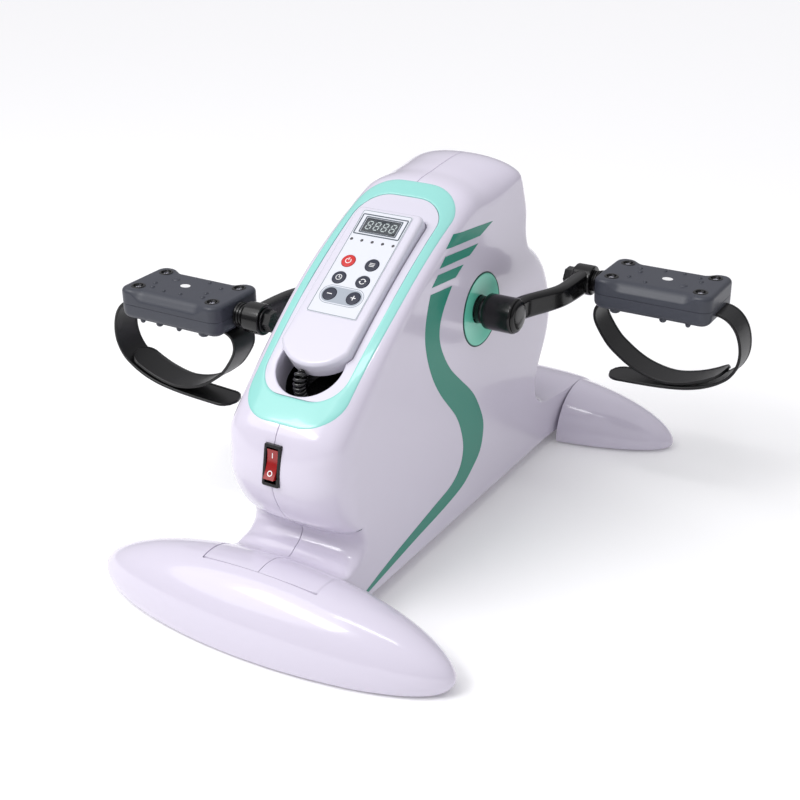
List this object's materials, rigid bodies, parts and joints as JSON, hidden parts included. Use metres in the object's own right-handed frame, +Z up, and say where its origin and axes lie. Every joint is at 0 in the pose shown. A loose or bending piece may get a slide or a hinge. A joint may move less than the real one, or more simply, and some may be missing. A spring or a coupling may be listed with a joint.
{
  "type": "pedal exerciser",
  "caption": "Motorised tabletop pedal exerciser with strapped pedals on a driven crank, two long spindle feet and a corded handset in a sloping console.",
  "frame": {"origin": "on the floor, under the middle of the machine", "axes": "+X to the right of the seated user, +Y away from the user, +Z up"},
  "size_m": [0.4682, 0.498, 0.288],
  "materials": {
    "shell_white": "glossy injection-moulded white with a cool tint",
    "panel_white": "semi-gloss moulded white",
    "ring_aqua": "glossy pale aqua",
    "disc_mint": "satin mint green",
    "black_plastic": "satin black moulding",
    "rocker_red": "translucent red",
    "pad_rubber": "matt black rubber",
    "strap_rubber": "satin black rubber",
    "cord_black": "satin black cord jacket",
    "pedal_slate": "satin dark slate",
    "crank_black": "gloss black enamel",
    "bare_steel": "turned steel",
    "screw_chrome": "bright plated",
    "frame_paint": "black powder coat",
    "gear_nylon": "natural nylon",
    "motor_steel": "grey painted can",
    "case_aluminium": "plain folded sheet",
    "board_green": "green solder mask",
    "membrane_white": "printed polyester film",
    "lens_dark": "dark clear window",
    "button_navy": "dark navy key",
    "button_red": "red key"
  },
  "bodies": {
    "base": {"housing_left": "shell_white", "housing_right": "shell_white", "console_bezel": "ring_aqua", "console_panel": "panel_white", "front_foot_shell": "shell_white", "rear_foot_left": "shell_white", "rear_foot_right": "shell_white", "rubber_feet": "pad_rubber", "housing_screws": "screw_chrome", "front_cross_tube": "frame_paint", "rear_cross_tube": "frame_paint", "frame_spine": "frame_paint", "frame_plate_left": "frame_paint", "frame_plate_right": "frame_paint", "frame_tie_rods": "bare_steel", "shaft_bearings": "bare_steel", "disc_cover_left": "disc_mint", "disc_cover_right": "disc_mint", "switch_bezel": "black_plastic", "power_inlet": "black_plastic", "motor_body": "motor_steel", "motor_bracket": "frame_paint", "drive_belt": "pad_rubber", "power_supply": "case_aluminium", "control_board": "board_green", "cord_grommet": "black_plastic", "handset_cord": "cord_black"},
    "crankset": {"crank_shaft": "bare_steel", "crank_gear": "gear_nylon", "crank_arm_left": "crank_black", "crank_arm_right": "crank_black", "shaft_collars": "black_plastic", "hub_caps": "black_plastic", "pedal_spindle_left": "bare_steel", "pedal_spindle_right": "bare_steel", "pedal_nuts": "crank_black"},
    "idler": {"idler_shaft": "bare_steel", "idler_pulley": "gear_nylon", "idler_pinion": "bare_steel"},
    "rotor": {"motor_rotor": "bare_steel"},
    "pedal_left": {"pedal_upper_left": "pedal_slate", "pedal_lower_left": "pedal_slate", "pedal_strap_left": "strap_rubber", "pedal_screws_left": "screw_chrome"},
    "pedal_right": {"pedal_upper_right": "pedal_slate", "pedal_lower_right": "pedal_slate", "pedal_strap_right": "strap_rubber", "pedal_screws_right": "screw_chrome"},
    "rocker": {"switch_rocker": "rocker_red"},
    "handset": {"handset_front": "panel_white", "handset_back": "panel_white", "handset_membrane": "membrane_white", "display_lenses": "lens_dark", "handset_board": "board_green"},
    "power_button": {"button_power": "button_red"},
    "mode_button": {"button_mode": "button_navy"},
    "timer_button": {"button_timer": "button_navy"},
    "direction_button": {"button_direction": "button_navy"},
    "minus_button": {"button_minus": "button_navy"},
    "plus_button": {"button_plus": "button_navy"}
  },
  "joints": [
    {"name": "crank_spin", "type": "hinge", "parent": "base", "child": "crankset", "pos_m": [0, 0.0215, 0.1813], "axis": [1, 0, 0], "continuous": true},
    {"name": "idler_spin", "type": "hinge", "parent": "base", "child": "idler", "pos_m": [0, 0.08782, 0.13656], "axis": [1, 0, 0], "continuous": true},
    {"name": "rotor_spin", "type": "hinge", "parent": "base", "child": "rotor", "pos_m": [0, -0.052, 0.078], "axis": [1, 0, 0], "continuous": true},
    {"name": "pedal_left_spin", "type": "hinge", "parent": "crankset", "child": "pedal_left", "pos_m": [-0.1613, -0.0785, 0.1813], "axis": [1, 0, 0], "continuous": true},
    {"name": "pedal_right_spin", "type": "hinge", "parent": "crankset", "child": "pedal_right", "pos_m": [0.1613, 0.1215, 0.1813], "axis": [1, 0, 0], "continuous": true},
    {"name": "power_rocker", "type": "hinge", "parent": "base", "child": "rocker", "pos_m": [0, -0.19029, 0.12967], "axis": [1, 0, 0], "range_deg": [0, 16]},
    {"name": "handset_lift", "type": "slide", "parent": "base", "child": "handset", "axis": [0, -0.5402, 0.8415], "range_m": [0, 0.08], "deforming": ["handset_cord"]},
    {"name": "power_press", "type": "slide", "parent": "handset", "child": "power_button", "axis": [0, 0.5402, -0.8415], "range_m": [0, 0.001], "stiffness_N_per_m": 400, "springref_m": -0.001},
    {"name": "mode_press", "type": "slide", "parent": "handset", "child": "mode_button", "axis": [0, 0.5402, -0.8415], "range_m": [0, 0.001], "stiffness_N_per_m": 400, "springref_m": -0.001},
    {"name": "timer_press", "type": "slide", "parent": "handset", "child": "timer_button", "axis": [0, 0.5402, -0.8415], "range_m": [0, 0.001], "stiffness_N_per_m": 400, "springref_m": -0.001},
    {"name": "direction_press", "type": "slide", "parent": "handset", "child": "direction_button", "axis": [0, 0.5402, -0.8415], "range_m": [0, 0.001], "stiffness_N_per_m": 400, "springref_m": -0.001},
    {"name": "minus_press", "type": "slide", "parent": "handset", "child": "minus_button", "axis": [0, 0.5402, -0.8415], "range_m": [0, 0.001], "stiffness_N_per_m": 400, "springref_m": -0.001},
    {"name": "plus_press", "type": "slide", "parent": "handset", "child": "plus_button", "axis": [0, 0.5402, -0.8415], "range_m": [0, 0.001], "stiffness_N_per_m": 400, "springref_m": -0.001}
  ],
  "couplings": [
    {"joint": "idler_spin", "follows": "crank_spin", "ratio": -4},
    {"joint": "rotor_spin", "follows": "crank_spin", "ratio": -21.091}
  ]
}
